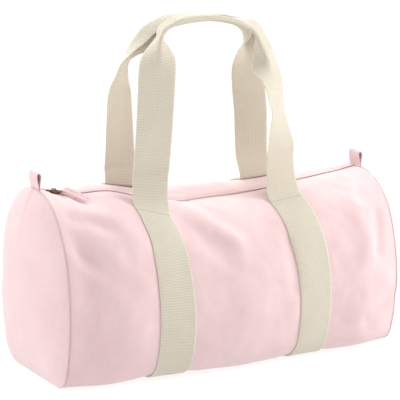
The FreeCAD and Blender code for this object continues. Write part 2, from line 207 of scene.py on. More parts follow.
back_handle_line = (
    (-105, 42.5, 262, 0, 8),
    (-106, 40, 284, 0, 13),
    (-108, 36, 325, 0, 20),
    (-109, 33, 361, 0, 27),
    (-106.5, 32, 382, 0, 43),
    (-103.5, 31, 401, 4, 52),
    (-100, 30, 413, 20, 54),
    (-95, 29.5, 425, 46, 48),
    (-87, 29, 436, 68, 40),
    (-75, 28.5, 448.5, 83, 32),
    (-50, 28, 459.5, 87, 20),
    (-24, 28, 463, 87, 12),
    (4, 28, 461.5, 87, 6),
    (28, 28, 457.5, 87, -4),
    (48, 28, 451.5, 87, -10),
    (64, 28, 445.5, 87, -14),
    (74, 28.5, 438.5, 85, -14),
    (79.5, 29, 429, 64, -14),
    (82, 30, 412, 28, -8),
    (86, 31.5, 392, 6, 0),
    (89, 33, 365, 0, 5),
    (95, 36.5, 325, 0, 7),
    (99, 41, 278, 0, 4),
    (101, 42.5, 260, 0, 2),
)

# Fold of the webbing, rounder at the front grip, and the bend where a leg leaves its strap
fold_round = 3.2
grip_round = 7.0
grip_folds = (88.0, 94.0)
fold_points = 60
bend_shares = {-1: 0.34, 1: 0.14}
bend_place_shares = (0.15, 0.3, 0.45, 0.6, 0.8)
foot_room = 36.0
foot_rows = 8
span_steps = 14
ring_spacing = 2.5

# Zip
zip_closed_inset = 18.0
zip_open_inset = 26.0
stop_length = 3.0
slider_length = 11.0
tape_half_width = 15.0
tape_inner = 3.2
tape_thickness = 0.6
tape_slope = 0.05
tape_end = 236.0
tape_rows = 150
tape_columns = 7
tooth_pitch = 4.2
tooth_root_share = 0.15
tooth_head_share = 0.22
tooth_tip_share = 0.14
tooth_height = 2.4
tooth_drop = 1.4
tooth_root = 3.1
tooth_overlap = 0.9
tooth_bevel = 0.25
metal_bevel = 0.2

# Cloth pull on the slider's ring
pull_yaw = 38.0
pull_level = 2.5
ring_length = 10.0
pull_width = 10.5
pull_length = 36.0
pull_ply = 1.1
pull_gap = 0.6
pull_roll = 6.0
pull_roll_reach = (-2.0, 8.0)
pull_root = 3.0
pull_root_share = 0.5
pull_crease_share = 0.6
pull_crease_width = 0.9
pull_columns = 13
pull_spacing = 0.9
pull_line = (
    # past the ring's bar, up: from the end that is tucked under, round the bar, along the top
    (4.18, -0.55),
    (1.0, -1.0),
    (-1.3, -0.9),
    (-1.9, 0.0),
    (-1.3, 0.9),
    (1.0, 1.5),
    (5.0, pull_ply),
    (pull_length / 2, pull_ply),
    (pull_length, pull_ply),
)

# Cloth loops and bindings in the end seams
tab_width = 26.0
tab_thickness = 1.4
tab_inset = 1.55
tab_wave_height = 0.5
tab_wave_length = 5.0
tab_wave_rise = (2.0, 14.0)
tab_columns = 15
tab_spacing = 0.8
tab_height = 21.3
tab_side = (
    # out from the loop's middle, up from the seam's top
    (0.9, -8.0),
    (0.9, 0.5),
    (1.6, 7.0),
    (2.5, 13.0),
    (2.7, 17.0),
    (1.7, 20.2),
)
binding_reach = 10.0
binding_thickness = 1.6
binding_end_share = 0.985
binding_rows = 5
binding_columns = 190

# Stitches
stitch_length = 3.0
stitch_step = 4.0
stitch_radius = 0.32
stitch_sides = 6
stitch_shape = (
    # share of the length, share of the radius, lift in radii
    (0.0, 0.45, -0.5),
    (0.18, 0.9, 0.25),
    (0.5, 1.0, 0.5),
    (0.82, 0.9, 0.25),
    (1.0, 0.45, -0.5),
)
stitch_lowest = 1.0
strap_stitch_inset = 3.0
strap_stitch_columns = 9
strap_cross_rows = (5, 17, -6, -18)
lip_stitch_inset = 7.5
lip_stitch_end = 12.0
lip_stitch_rows = 160

# Stage: the floor, the light of the room, and lamps
floor_half = 30000.0
floor_glow = 0.78
room_light = 0.98
lamps = (
    # name, place, aim and size in metres, watts
    ("right_key", (1.1, -0.65, 0.8), (0.1, 0, 0.2), 0.7, 11),
    ("left_side", (-1.9, 0.4, 0.8), (-0.1, 0, 0.15), 1.0, 11),
    ("back_top", (0.1, 1.0, 1.5), (0, 0, 0.25), 1.0, 16),
)


# Numbers and lines

def mix(a, b, share):
    return a + (b - a) * share


def bell(value, place, spread):
    return np.exp(-(((value - place) / spread) ** 2))


def smooth_step(value, low, high):
    share = np.clip((value - low) / (high - low), 0, 1)
    return share * share * (3 - 2 * share)


def unit(vectors):
    return vectors / np.linalg.norm(vectors, axis=-1, keepdims=True)


def run_lengths(points):
    """Distance along a line of points, from its first."""
    steps = np.linalg.norm(np.diff(points, axis=0), axis=1)
    return np.concatenate(([0], np.cumsum(steps)))


def rows_at(rows, along, places):
    """Rows of a line at places along it, between the rows that it has."""
    return np.stack([np.interp(places, along, column) for column in rows.T], axis=-1)


def curve_through(points, steps):
    """Catmull-Rom curve through rows of numbers, with that many steps in each span."""
    points = np.asarray(points, float)
    line = np.vstack((2 * points[0] - points[1], points, 2 * points[-1] - points[-2]))
    share = np.linspace(0, 1, steps, endpoint=False)[:, None]
    spans = []
    for before, start, end, after in zip(line, line[1:], line[2:], line[3:]):
        bend = 2 * before - 5 * start + 4 * end - after
        twist = 3 * start - before - 3 * end + after
        spans.append(start + 0.5 * share * (end - before + share * (bend + share * twist)))
    return np.vstack(spans + [points[-1:]])


def evenly(line, spacing):
    """Rows of a line again, at even steps along its first three columns."""
    along = run_lengths(line[:, :3])
    count = round(along[-1] / spacing) + 1
    return rows_at(line, along, np.linspace(0, along[-1], count))


def upright_line(points, spacing):
    """Smooth line through (x, z) points, as rows (x, 0, z) at even steps."""
    steps_in_span = 8
    return evenly(np.insert(curve_through(points, steps_in_span), 1, 0, axis=1), spacing)


# Meshes

def add_mesh(name, points, faces, uvs=None, smooth=True):
    """New object from points in millimetres; uvs give each point's place on the cloth, in millimetres."""
    mesh = bpy.data.meshes.new(name)
    mesh.from_pydata((np.asarray(points, float) * MM).tolist(), [], faces)
    if uvs is not None:
        layer = mesh.uv_layers.new(name="cloth")
        corners = np.empty(len(mesh.loops), int)
        mesh.loops.foreach_get("vertex_index", corners)
        layer.data.foreach_set("uv", (np.asarray(uvs, float)[corners] * MM).ravel())
    mesh.polygons.foreach_set("use_smooth", [smooth] * len(mesh.polygons))
    mesh.update()
    obj = bpy.data.objects.new(name, mesh)
    bpy.context.scene.collection.objects.link(obj)
    return obj


def face_outwards(obj):
    """Turns the faces of a closed mesh outwards."""
    work = bmesh.new()
    work.from_mesh(obj.data)
    bmesh.ops.recalc_face_normals(work, faces=work.faces)
    work.to_mesh(obj.data)
    work.free()
    return obj


def grid_faces(rows, columns, closed=False):
    """Quads of a grid of points stored row by row; a closed one joins its last column to its first."""
    faces = []
    for row in range(rows - 1):
        near = row * columns
        far = near + columns
        for column in range(columns if closed else columns - 1):
            after = (column + 1) % columns
            faces.append((near + column, near + after, far + after, far + column))
    return faces


def tube_faces(rings, count):
    """Faces of a closed solid through rings of points, capped at both ends."""
    faces = grid_faces(rings, count, closed=True)
    faces.append(tuple(range(count)))
    faces.append(tuple(range((rings - 1) * count, rings * count)))
    return faces


def shifted(faces, start):
    """Faces of a copy whose first point has that number."""
    return [tuple(start + corner for corner in face) for face in faces]


def tube(name, sections, uvs):
    """Closed solid through rings of points, (rings, points, 3)."""
    faces = tube_faces(*sections.shape[:2])
    return face_outwards(add_mesh(name, sections.reshape(-1, 3), faces, uvs.reshape(-1, 2)))


def cloth_strip(name, sections, across, along):
    """Tube of cloth; across has a place for each point of a ring, and along has one for each ring."""
    uvs = np.stack(np.broadcast_arrays(across, along[:, None]), axis=2)
    return tube(name, np.array(sections), uvs)


def dress(obj, body, slot, material, *nodes):
    """Gives a piece its body and finish, and hides the solids that it stands for."""
    obj.data.materials.append(material)
    if body:
        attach(obj, body)
    if nodes:
        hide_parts(*nodes)
    return obj


def thicken(obj):
    """Gives an open sheet the thickness of canvas, on its inner side."""
    layer = obj.modifiers.new("thickness", "SOLIDIFY")
    layer.thickness = canvas * MM
    layer.offset = -1
    return obj


def soften(obj, width):
    """Rounds the edges of a metal piece."""
    edges = obj.modifiers.new("soft edges", "BEVEL")
    edges.width = width * MM
    edges.segments = 2


# Nodes of materials

def set_input(tree, socket, value):
    """Links a socket to another, or sets its number or colour."""
    if isinstance(value, bpy.types.NodeSocket):
        tree.links.new(value, socket)
    elif socket.type == "RGBA":
        socket.default_value = (*value, 1)
    else:
        socket.default_value = value


def set_inputs(tree, node, **inputs):
    """Sets or links inputs of a node, each by its name with _ for a space."""
    for name, value in inputs.items():
        set_input(tree, node.inputs[name.replace("_", " ")], value)


def add_node(tree, kind, settings=(), **inputs):
    """New node with those settings and inputs."""
    node = tree.nodes.new(kind)
    for name, value in dict(settings).items():
        setattr(node, name, value)
    set_inputs(tree, node, **inputs)
    return node


def new_material(name, roughness, sheen=0.0, sheen_tint=(1, 1, 1), light_through=0.0):
    material = bpy.data.materials.new(name)
    material.use_nodes = True
    tree = material.node_tree
    shader = tree.nodes["Principled BSDF"]
    set_inputs(
        tree,
        shader,
        Roughness=roughness,
        Sheen_Weight=sheen,
        Sheen_Tint=sheen_tint,
        Subsurface_Weight=light_through,
        Subsurface_Radius=(1.0, 0.75, 0.65),
        Subsurface_Scale=light_depth * MM,
    )
    return material, tree, shader


def math_node(tree, operation, first, second=0.0):
    """Socket with the result of an operation on sockets or numbers."""
    node = add_node(tree, "ShaderNodeMath", {"operation": operation})
    set_input(tree, node.inputs[0], first)
    set_input(tree, node.inputs[1], second)
    return node.outputs[0]


def weighted_sum(tree, *terms):
    """Socket with the sum of sockets, each times its weight."""
    total = 0.0
    for socket, weight in terms:
        total = math_node(tree, "ADD", math_node(tree, "MULTIPLY", socket, weight), total)
    return total


def stretched(tree, socket, contrast, shift):
    """Socket times a contrast, moved by a shift."""
    return math_node(tree, "ADD", math_node(tree, "MULTIPLY", socket, contrast), shift)


def bands(tree, coords, direction, period, distortion):
    """Stripes of the given period, in millimetres, across the cloth."""
    wave_period_at_one = math.pi / 10
    node = add_node(
        tree,
        "ShaderNodeTexWave",
        {"wave_type": "BANDS", "bands_direction": direction},
        Vector=coords,
        Scale=wave_period_at_one / (period * MM),
        Distortion=distortion,
        Detail=1.0,
        Detail_Scale=0.5,
    )
    return node.outputs["Fac"]


def streaks(tree, coords, across, along, detail=2.0):
    """Noise drawn out along the threads: sizes in millimetres across and along the cloth."""
    scale = (1 / (across * MM), 1 / (along * MM), 1)
    mapping = add_node(tree, "ShaderNodeMapping", Vector=coords, Scale=scale)
    node = add_node(tree, "ShaderNodeTexNoise", Vector=mapping.outputs[0], Scale=1.0, Detail=detail)
    return node.outputs["Fac"]


def shade_between(tree, fac, dark, light):
    """Colour between two, each a colour or a socket, by a socket."""
    node = add_node(tree, "ShaderNodeMix", {"data_type": "RGBA"}, Factor=fac, A=dark, B=light)
    return node.outputs["Result"]


def cloth_coords(tree):
    return add_node(tree, "ShaderNodeUVMap", {"uv_map": "cloth"}).outputs[0]


def object_coords(tree):
    return add_node(tree, "ShaderNodeTexCoord").outputs["Object"]


def set_surface(tree, shader, colour, height, strength, depth):
    """Gives a material its colour, and a relief of that depth."""
    bump = add_node(tree, "ShaderNodeBump", Strength=strength, Distance=depth * MM, Height=height)
    set_inputs(tree, shader, Base_Color=colour, Normal=bump.outputs[0])


# Materials

def canvas_material():
    """Plain-woven cotton canvas: fine warp and weft, slubs, and a little uneven dye."""
    material, tree, shader = new_material(
        "pink_canvas", roughness=0.9, sheen=0.25, sheen_tint=(1.0, 0.95, 0.95), light_through=0.35
    )
    coords = cloth_coords(tree)
    warp = bands(tree, coords, "X", period=0.9, distortion=0.6)
    weft = bands(tree, coords, "Y", period=0.9, distortion=0.6)
    slub_x = streaks(tree, coords, across=1.1, along=26.0)
    slub_y = streaks(tree, coords, across=26.0, along=1.1)
    mottle = streaks(tree, coords, across=70.0, along=70.0, detail=4.0)
    weave = math_node(tree, "MULTIPLY", warp, weft)
    slubs = math_node(tree, "ADD", slub_x, slub_y)
    height = math_node(tree, "ADD", weave, slubs)
    tone = weighted_sum(tree, (slubs, 0.35), (mottle, 0.65))
    tone = stretched(tree, tone, contrast=2.2, shift=-0.95)
    colour = shade_between(tree, tone, dark=(0.660, 0.466, 0.469), light=(0.742, 0.562, 0.566))
    set_surface(tree, shader, colour, height, strength=0.35, depth=0.25)
    return material


def webbing_material():
    """Thick cotton webbing: ribs across it, each a row of plaited yarns, and selvedges painted paler, a
    painted highlight along its edges.
    """
    material, tree, shader = new_material(
        "cream_webbing", roughness=0.88, sheen=0.2, sheen_tint=(1.0, 0.97, 0.9), light_through=0.45
    )
    coords = cloth_coords(tree)
    ribs = bands(tree, coords, "Y", period=2.1, distortion=0.8)
    yarns = bands(tree, coords, "X", period=2.2, distortion=1.2)
    fluff = streaks(tree, coords, across=1.8, along=2.2, detail=3.0)
    soil = streaks(tree, coords, across=40.0, along=60.0, detail=3.0)
    weave = weighted_sum(tree, (ribs, 1.0), (yarns, 0.45))
    height = weighted_sum(tree, (weave, 1.0), (fluff, 0.8))
    tone = weighted_sum(tree, (weave, 0.38), (fluff, 0.5), (soil, 0.2))
    middle = shade_between(tree, tone, dark=(0.420, 0.374, 0.292), light=(0.685, 0.632, 0.526))
    # Selvedges painted paler than the middle: a painted highlight along the webbing's edges.
    edge_highlight = shade_between(tree, tone, dark=(0.540, 0.495, 0.405), light=(0.740, 0.695, 0.595))
    place = add_node(tree, "ShaderNodeSeparateXYZ", Vector=coords)
    from_middle = math_node(tree, "ABSOLUTE", place.outputs["X"])
    is_edge = math_node(tree, "GREATER_THAN", from_middle, (webbing_width / 2 - selvedge_width) * MM)
    colour = shade_between(tree, is_edge, middle, edge_highlight)
    set_surface(tree, shader, colour, height, strength=0.6, depth=0.5)
    return material


def tape_material(name, dark, light, pitch):
    """Narrow woven tape with fine slanting ribs."""
    material, tree, shader = new_material(name, roughness=0.85, sheen=0.1, sheen_tint=(1.0, 0.95, 0.92))
    coords = cloth_coords(tree)
    ribs = bands(tree, coords, "DIAGONAL", pitch, distortion=0.4)
    fluff = streaks(tree, coords, across=1.0, along=6.0)
    height = math_node(tree, "ADD", ribs, fluff)
    colour = shade_between(tree, math_node(tree, "MULTIPLY", height, 0.5), dark, light)
    set_surface(tree, shader, colour, height, strength=0.4, depth=0.2)
    return material


def thread_material(name, dark, light):
    """Twisted sewing thread."""
    material, tree, shader = new_material(name, roughness=0.7, sheen=0.15, sheen_tint=(1.0, 0.97, 0.95))
    twist = bands(tree, object_coords(tree), "DIAGONAL", period=0.5, distortion=0.3)
    colour = shade_between(tree, twist, dark, light)
    set_surface(tree, shader, colour, twist, strength=0.5, depth=0.1)
    return material


def metal_material():
    """Antique brass: dark patina, rubbed brighter in patches, fine scratches."""
    material, tree, shader = new_material("antique_metal", roughness=0.4)
    coords = object_coords(tree)
    patina = streaks(tree, coords, across=2.5, along=2.5, detail=5.0)
    scratches = streaks(tree, coords, across=0.3, along=4.0)
    rubbed = math_node(tree, "MULTIPLY", patina, math_node(tree, "ADD", scratches, 0.5))
    colour = shade_between(tree, rubbed, dark=(0.06, 0.04, 0.025), light=(0.34, 0.23, 0.13))
    rough = stretched(tree, patina, contrast=0.3, shift=0.25)
    set_inputs(tree, shader, Metallic=1.0, Roughness=rough)
    set_surface(tree, shader, colour, scratches, strength=0.2, depth=0.05)
    return material


pink = canvas_material()
cream = webbing_material()
zip_cloth = tape_material("zip_tape", (0.60, 0.40, 0.40), (0.78, 0.58, 0.58), pitch=0.9)
binding_cloth = tape_material("seam_binding", (0.60, 0.54, 0.45), (0.76, 0.70, 0.60), pitch=1.1)
cream_thread = thread_material("cream_thread", (0.60, 0.54, 0.43), (0.74, 0.69, 0.58))
pink_thread = thread_material("pink_thread", (0.68, 0.47, 0.48), (0.80, 0.60, 0.61))
brass = metal_material()


# Line of the zip

def zip_arc(x):
    """Height of the arc that the slider follows."""
    return zip_low_height + zip_sag_radius - np.sqrt(zip_sag_radius ** 2 - (x - zip_low_place) ** 2)


def place_on_arc(distance):
    """Place along the barrel at a distance along the zip's arc from its lowest point."""
    return zip_low_place + zip_sag_radius * math.sin(distance / zip_sag_radius)


def along_arc(x):
    """Distance along the zip's arc from its lowest point, at a place along the barrel."""
    return zip_sag_radius * math.asin((x - zip_low_place) / zip_sag_radius)


chain_start = along_arc(zip_closed_inset - seam_half)
chain_end = along_arc(seam_half - zip_open_inset)
slider_rest = chain_start + stop_length + layer_gap + slider_length / 2
slider_x = place_on_arc(slider_rest)


def zip_height(x):
    """Height of the zip edges: the arc, and the places where the slack top stands above or below it."""
    return zip_arc(x) + sum(rise * bell(x, place, spread) for rise, place, spread in zip_rises)


def zip_place(distance):
    """Matrix of a place on the zip, by its distance along the arc: X along, Y across, Z out of the bag."""
    x = place_on_arc(distance)
    slope = (zip_height(x + 1) - zip_height(x - 1)) / 2
    return Matrix.Translation((x, 0, float(zip_height(x)))) @ Matrix.Rotation(-math.atan(slope), 4, "Y")


# Form of the canvas

def lip_place(x, side):
    """Distance out and height of the front (-1) or back (1) zip edge at x."""
    at_slider = 1 - smooth_step(abs(x - slider_x), *lip_parting_reach)
    out = mix(met_lip_half_gap, lip_half_gap, smooth_step(x, *lips_meet)) + lip_parting * at_slider
    rise = back_lip_rise if side > 0 else -slider_dip * at_slider
    return out, zip_height(x) + rise


def half_outline(x, side):
    """Points (distance out, z) of the front (-1) or back (1) half at x, from the base to the zip."""
    bulge = 1 - (x / seam_half) ** 2
    lip_heading = flat_heading if side < 0 else mix(flat_heading, crest_heading, bulge ** 2)
    under_strap = 1 - smooth_step(abs(abs(x) - strap_place), *strap_press)
    base_height = mix(floor_lift, layer_gap + webbing_thickness, under_strap)
    spilled = sum(spill * bell(x, place, spread) for place, spill, spread in spills)
    base_half = mix(end_base_half, mid_base_half, bulge) + spilled
    corner = mix(end_corner_radius, mid_corner_radius, bulge)
    lip_out, lip_height = lip_place(x, side)

    # The side and top arcs get the radii that bring them from the corner to the zip edge
    turns = np.radians([0, side_heading, shoulder_heading, lip_heading])
    out_runs = np.diff(np.sin(turns))
    up_runs = -np.diff(np.cos(turns))
    out_left = lip_out - base_half - corner * out_runs[0]
    up_left = lip_height - base_height - corner * up_runs[0]
    scale = out_runs[1] * up_runs[2] - out_runs[2] * up_runs[1]
    side_radius = (out_left * up_runs[2] - out_runs[2] * up_left) / scale
    top_radius = (out_runs[1] * up_left - out_left * up_runs[1]) / scale

    pieces = [np.array([(0, base_height), (base_half, base_height)])]
    for radius, start, end in zip((corner, side_radius, top_radius), turns, turns[1:]):
        out, up = pieces[-1][-1]
        turn = np.linspace(start, end, arc_points)[1:]
        arc_out = out + radius * (np.sin(turn) - math.sin(start))
        arc_up = up + radius * (math.cos(start) - np.cos(turn))
        pieces.append(np.stack((arc_out, arc_up), axis=1))
    return np.vstack(pieces)


def noise_at(points, size):
    """Smooth noise of about that size at each point, from -1 to 1."""
    flat = (points.reshape(-1, 3) / size).tolist()
    values = np.array([noise.noise(Vector(point)) for point in flat])
    return values.reshape(points.shape[:-1])


def fold_height(across, up, folds):
    """Height of the folds, each a soft ridge or valley along a line."""
    total = np.zeros_like(across)
    for (x0, z0), (x1, z1), spread, height in folds:
        length_squared = (x1 - x0) ** 2 + (z1 - z0) ** 2
        share = ((across - x0) * (x1 - x0) + (up - z0) * (z1 - z0)) / length_squared
        share = np.clip(share, 0, 1)
        distance = np.hypot(across - mix(x0, x1, share), up - mix(z0, z1, share))
        total += height * np.exp(-((distance / spread) ** 2))
    return total


def puffs(x, z):
    """How far the panels puff out between straps and seams."""
    height = np.zeros_like(x)
    for place, half, puff in panels:
        height += puff * np.clip(1 - ((x - place) / half) ** puff_power, 0, 1)
    return height * mix(1, top_puff_share, smooth_step(z, *top_fade))


def wrinkles(points, seam_distance):
    """Ripples and creases of the slack canvas, and puckers along its end seams."""
    off_strap = smooth_step(np.abs(np.abs(points[..., 0]) - strap_place), *crease_clear_of_strap)
    height = np.zeros_like(seam_distance)
    for size, depth in ripple_sizes:
        height += depth * noise_at(points, size)
    for size, depth in crease_sizes:
        height += depth * np.abs(noise_at(points + size, size)) * off_strap
    puckers = noise_at(points * pucker_stretch, pucker_size) * np.exp(-seam_distance / pucker_reach)
    return height + pucker_height * puckers


def near_spot(x, y, spot):
    """1 at a spot (x, y, spread) seen from above, falling to 0 round it."""
    spot_x, spot_y, spread = spot
    return np.exp(-(((x - spot_x) / spread) ** 2) - ((y - spot_y) / spread) ** 2)


def relief(points):
    """How far the canvas stands out of its plain form."""
    x, y, z = np.moveaxis(points, -1, 0)
    seam_distance = seam_half - np.abs(x)
    on_top = z > top_fade[0]
    folds = np.where(y < 0, fold_height(x, z, front_folds), fold_height(x, z, back_folds))
    height = puffs(x, z) + folds + wrinkles(points, seam_distance)
    height *= smooth_step(z, *base_fade)
    height *= mix(lip_relief_share, 1, smooth_step(np.abs(y), *lip_fade))
    height *= mix(seam_relief_share, 1, smooth_step(seam_distance, *seam_fade))
    height *= 1 - near_spot(x, y, pull_rest) * on_top
    height -= pull_bed_depth * near_spot(x, y, pull_bed) * on_top
    return height - seam_pinch * np.exp(-seam_distance / seam_roll)


def outward(grid):
    """Unit normals of a grid whose rows run along +X and columns from the front under to the back."""
    along = np.gradient(grid, axis=0)
    down = np.gradient(grid, axis=1)
    return unit(np.cross(down, along))


def skin(xs, shares):
    """Points on the canvas, a row for each x.

    A row's shares run from -1 at the front lip, under the base, to 1 at the back lip.
    """
    grid = np.empty(shares.shape + (3,))
    for i, x in enumerate(xs):
        for side, mine in ((-1, shares[i] < 0), (1, shares[i] >= 0)):
            outline = half_outline(x, side)
            along = run_lengths(outline)
            places = np.abs(shares[i][mine]) * along[-1]
            grid[i, mine, 0] = x
            grid[i, mine, 1] = side * np.interp(places, along, outline[:, 0])
            grid[i, mine, 2] = np.interp(places, along, outline[:, 1])
    return grid + outward(grid) * relief(grid)[..., None]


def share_out(x, side, distance):
    """Share of the half outline where its top is that far from the middle."""
    outline = half_outline(x, side)
    along = run_lengths(outline)
    top = outline[:, 1] > outline[:, 1].max() / 2
    return np.interp(-distance, -outline[top, 0], along[top]) / along[-1]


def strip_along_zip(xs, side, distance):
    """Canvas points that far out from the zip, three to each x; the middle one is the place itself."""
    about = near_share * np.array((-1, 0, 1))
    return skin(xs, np.array([side * share_out(x, side, distance) + about for x in xs]))


def girth(grid):
    """Distance round the cloth, for each point of a grid, from its first column."""
    steps = np.linalg.norm(np.diff(grid, axis=1), axis=2)
    return np.concatenate((np.zeros((len(grid), 1)), np.cumsum(steps, axis=1)), axis=1)


# Canvas panels

def barrel():
    """One sheet from the front zip edge, under the base, to the back zip edge."""
    xs = np.linspace(-seam_half, seam_half, barrel_rows)
    shares = np.tile(np.linspace(-1, 1, barrel_columns), (len(xs), 1))
    grid = skin(xs, shares)
    around = girth(grid)
    uvs = np.stack((grid[..., 0], around), axis=2)
    faces = grid_faces(*shares.shape)
    obj = add_mesh("barrel_canvas", grid.reshape(-1, 3), faces, uvs.reshape(-1, 2))
    dress(thicken(obj), "bag", "pink_canvas", pink, "barrel_panel")


def dome(end, rim):
    """Rings that shrink from the rim of an end to its middle, and stand out."""
    middle = np.array((end * seam_half, 0, dome_middle_share * zip_height(end * seam_half)))
    edge = math.radians(dome_edge_angle)
    rings = []
    for share in np.linspace(1, dome_hole_share, dome_rings) ** dome_spacing_power:
        turn = edge * share
        size = math.sin(turn) / math.sin(edge)
        depth = end_bulges[end] * (math.cos(turn) - math.cos(edge)) / (1 - math.cos(edge))
        ring = middle + (rim - middle) * size
        swell = fold_height(ring[:, 1], ring[:, 2], end_folds[end])
        swell += dome_ripple_height * noise_at(ring, dome_ripple_size)
        ring[:, 0] += end * (depth + swell * (1 - size ** dome_swell_power))
        rings.append(ring)
    grid = np.array(rings)
    grid[..., 2] = np.maximum(grid[..., 2], floor_lift)
    return grid


def end_panel(end, name):
    """Puffed end of the bag."""
    near = sorted((end * seam_half, end * (seam_half - rim_step)))
    shares = np.tile(np.linspace(-1, 1, barrel_columns), (2, 1))
    rim = skin(near, shares)[1 if end > 0 else 0]
    grid = dome(end, rim)
    faces = grid_faces(*grid.shape[:2], closed=True)
    faces.append(tuple(range((dome_rings - 1) * len(rim), dome_rings * len(rim))))
    if end > 0:
        faces = [tuple(reversed(face)) for face in faces]
    obj = add_mesh(name, grid.reshape(-1, 3), faces, grid[..., 1:].reshape(-1, 2))
    dress(thicken(obj), "bag", "pink_canvas", pink, name.replace("_canvas", "_panel"))


# Webbing

def slab_ring(width, thickness, columns):
    """Outline (across, up) of webbing with rounded edges, its underside at 0."""
    edge = thickness / 2
    flat = np.linspace(edge - width / 2, width / 2 - edge, columns)
    bends = np.radians((45, 90, 135))
    right = np.stack((width / 2 - edge + edge * np.sin(bends), edge + edge * np.cos(bends)), axis=1)
    top = np.stack((flat, np.full(columns, thickness)), axis=1)
    bottom = np.stack((flat[::-1], np.zeros(columns)), axis=1)
    left = right[::-1] * (-1, 1)
    return np.vstack((top, right, bottom, left))


# Outline of the webbing, and for each of its points the number of the one that mirrors it
webbing_ring = slab_ring(webbing_width, webbing_thickness, webbing_columns)
mirrored = [int(np.argmin(np.hypot(*(webbing_ring - (-across, up)).T))) for across, up in webbing_ring]


def strap_line(end, across):
    """Canvas points and normals under a strap, from front to back anchor, a row for each place across."""
    xs = end * strap_place + across
    rows = np.linspace(0, 1, strap_rows)
    shares = np.array([
        mix(-share_out(x, -1, front_anchors[end]), share_out(x, 1, back_anchor), rows) for x in xs
    ])
    grid = skin(xs, shares)
    return grid, outward(grid)


def strap(end, name):
    """Webbing sewn round the barrel. Returns its rings, from the front anchor to the back one."""
    across, column = np.unique(np.round(webbing_ring[:, 0], 4), return_inverse=True)
    grid, lift = strap_line(end, across)
    rings = grid[column] + lift[column] * (layer_gap + webbing_ring[:, 1])[:, None, None]
    rings = np.moveaxis(rings, 1, 0)
    along = run_lengths(rings[:, 0])
    obj = cloth_strip(name + "_webbing", rings, webbing_ring[:, 0], along)
    dress(obj, "bag", "cream_webbing", cream, name)
    return rings


def folded(across, fold):
    """Places (sideways, inwards) and normals of webbing folded along its middle, for places across it."""
    fine = np.linspace(0, webbing_width / 2, fold_points)
    bent = mix(fold_round, grip_round, smooth_step(fold, *grip_folds))
    turn = math.radians(fold) * smooth_step(fine, 0, bent)
    step = fine[1]
    sideways = np.concatenate(([0], np.cumsum(np.cos(turn[1:]) * step)))
    inwards = np.concatenate(([0], np.cumsum(np.sin(turn[1:]) * step)))
    size = np.abs(across)
    sign = np.sign(across)
    angle = np.interp(size, fine, turn)
    places = np.stack((sign * np.interp(size, fine, sideways), np.interp(size, fine, inwards)), axis=1)
    normals = np.stack((sign * np.sin(angle), -np.cos(angle)), axis=1)
    return places, normals


def leaving_bend(inner, foot, row, bend_share):
    """Rows of a soft bend by which a leg leaves its sewn strap, as far as a row of the handle's line."""
    reach = np.linalg.norm(row[:3] - foot)
    start = np.append(foot, (0, 0))
    corner = np.append(foot + unit(foot - inner) * reach * bend_share, (0, row[4] / 2))
    bend = []
    for share in bend_place_shares:
        left = 1 - share
        bend.append(left ** 2 * start + 2 * share * left * corner + share ** 2 * row)
    return bend


def handle_stations(line, feet, bend_share):
    """Even rows along a handle, from foot to foot."""
    line = np.array(line, float)
    (left_inner, left_foot), (right_inner, right_foot) = feet
    rows = [np.append(point, (0, 0)) for point in (left_inner, left_foot)]
    rows += leaving_bend(left_inner, left_foot, line[0], bend_share)
    rows += list(line)
    rows += leaving_bend(right_inner, right_foot, line[-1], bend_share)[::-1]
    rows += [np.append(point, (0, 0)) for point in (right_foot, right_inner)]
    curve = curve_through(rows, span_steps)
    return evenly(curve[span_steps:-span_steps], ring_spacing)


def turned_across(tangent, turn, side):
    """Direction across webbing that runs along a tangent and faces the zip, then turned about its run."""
    inward = np.array((0.0, -side, 0.0))
    into = unit(inward - tangent * (inward @ tangent))
    turning = Matrix.Rotation(math.radians(turn), 3, Vector(tangent))
    return np.array(turning @ Vector(-side * np.cross(tangent, into)))


def handle_rings(stations, along, side, sewn_rings):
    """Rings of webbing along a handle, lined up with the ends of its two straps where it meets them."""
    tangents = unit(np.gradient(stations[:, :3], axis=0))
    rings = []
    for station, tangent, place in zip(stations, tangents, along):
        across = turned_across(tangent, station[4], side)
        for sewn_ring, distance in zip(sewn_rings, (place, along[-1] - place)):
            sewn = sewn_ring[webbing_columns - 1] - sewn_ring[0]
            sewn = unit(sewn) * math.copysign(1, sewn @ across)
            across = mix(sewn, across, smooth_step(distance, 0, foot_room))
        across = unit(across - tangent * (across @ tangent))
        into = -side * np.cross(across, tangent)
        places, normals = folded(webbing_ring[:, 0], station[3])
        places = places + normals * (webbing_ring[:, 1:] - webbing_thickness / 2)
        rings.append(station[:3] + places[:, :1] * across + places[:, 1:] * into)
    return np.array(rings)


def handle(side, name, line, straps):
    """Webbing from strap to strap: flat legs, folded in two along their middle to make the grip."""
    last = 0 if side < 0 else -1
    inner = foot_rows if side < 0 else -1 - foot_rows
    feet = [(rings[inner].mean(axis=0), rings[last].mean(axis=0)) for rings in straps]
    left_sewn, right_sewn = [rings[last] for rings in straps]
    stations = handle_stations(line, feet, bend_shares[side])
    along = run_lengths(stations[:, :3])
    rings = handle_rings(stations, along, side, (left_sewn, right_sewn))
    left_shift = left_sewn[mirrored] - rings[0]
    right_shift = right_sewn - rings[-1]
    rings += left_shift * (1 - smooth_step(along, 0, foot_room))[:, None, None]
    rings += right_shift * (1 - smooth_step(along[-1] - along, 0, foot_room))[:, None, None]
    obj = cloth_strip(name + "_webbing", rings, webbing_ring[:, 0], along)
    dress(obj, None, "cream_webbing", cream, name)
    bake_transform(obj)


# Zip

